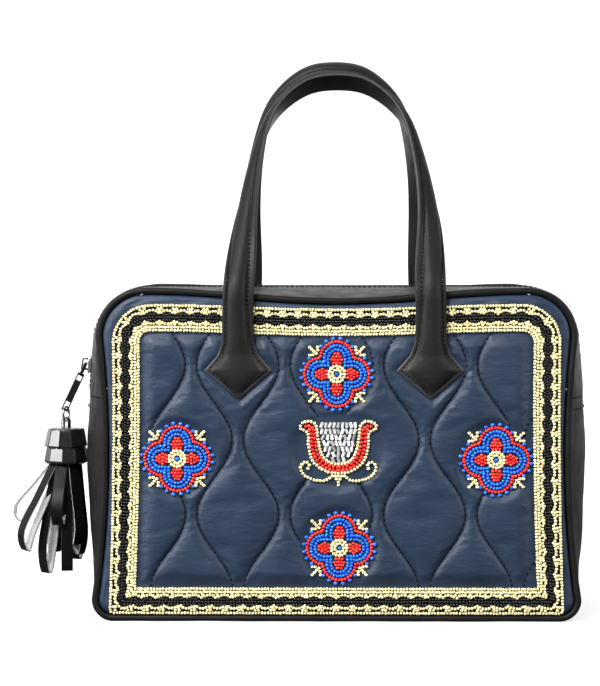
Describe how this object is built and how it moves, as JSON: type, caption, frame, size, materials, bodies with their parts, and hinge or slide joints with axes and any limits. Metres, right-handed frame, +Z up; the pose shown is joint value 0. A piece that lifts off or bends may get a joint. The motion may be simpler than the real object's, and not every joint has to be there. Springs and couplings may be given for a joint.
{
  "type": "handbag",
  "caption": "Structured top-handle handbag of quilted navy leather with black gusset, piping, twisted strap handles, beaded front ornament, top zip and looped leather tassel.",
  "frame": {"origin": "on the floor, under the middle of the bag's flat base", "axes": "+Z up, front panel towards -Y, zip pull and tassel at the -X end"},
  "size_m": [0.3574, 0.1376, 0.3433],
  "materials": {
    "navy_leather": "smooth quilted leather with a soft sheen",
    "black_leather": "smooth leather with a soft sheen",
    "patent_leather": "glossy patent leather",
    "zip_tape": "woven tape with moulded teeth",
    "bright_metal": "polished",
    "cream_beads": "opaque glossy glass seed beads",
    "blue_beads": "opaque glossy glass seed beads",
    "red_beads": "opaque glossy glass seed beads",
    "black_beads": "opaque glossy glass seed beads",
    "clear_beads": "silver-lined clear glass tubes"
  },
  "bodies": {
    "bag": {"panel_front": "navy_leather", "panel_back": "navy_leather", "piping_front": "black_leather", "piping_back": "black_leather", "gusset_base": "black_leather", "gusset_top_front": "black_leather", "gusset_top_back": "black_leather", "handle_front": "black_leather", "handle_back": "black_leather", "bead_border": "cream_beads", "bead_rosette_top": "blue_beads", "bead_rosette_left": "blue_beads", "bead_rosette_right": "blue_beads", "bead_rosette_bottom": "blue_beads", "bead_motif": "red_beads", "zip": "zip_tape", "zip_slider": "bright_metal"},
    "zip_pull": {"pull_bar": "bright_metal", "pull_ring": "bright_metal", "tassel": "patent_leather"}
  },
  "joints": [
    {"name": "pull_swing", "type": "hinge", "parent": "bag", "child": "zip_pull", "pos_m": [-0.15679, 0, 0.15238], "axis": [0, 1, 0], "range_deg": [0, 120]}
  ]
}
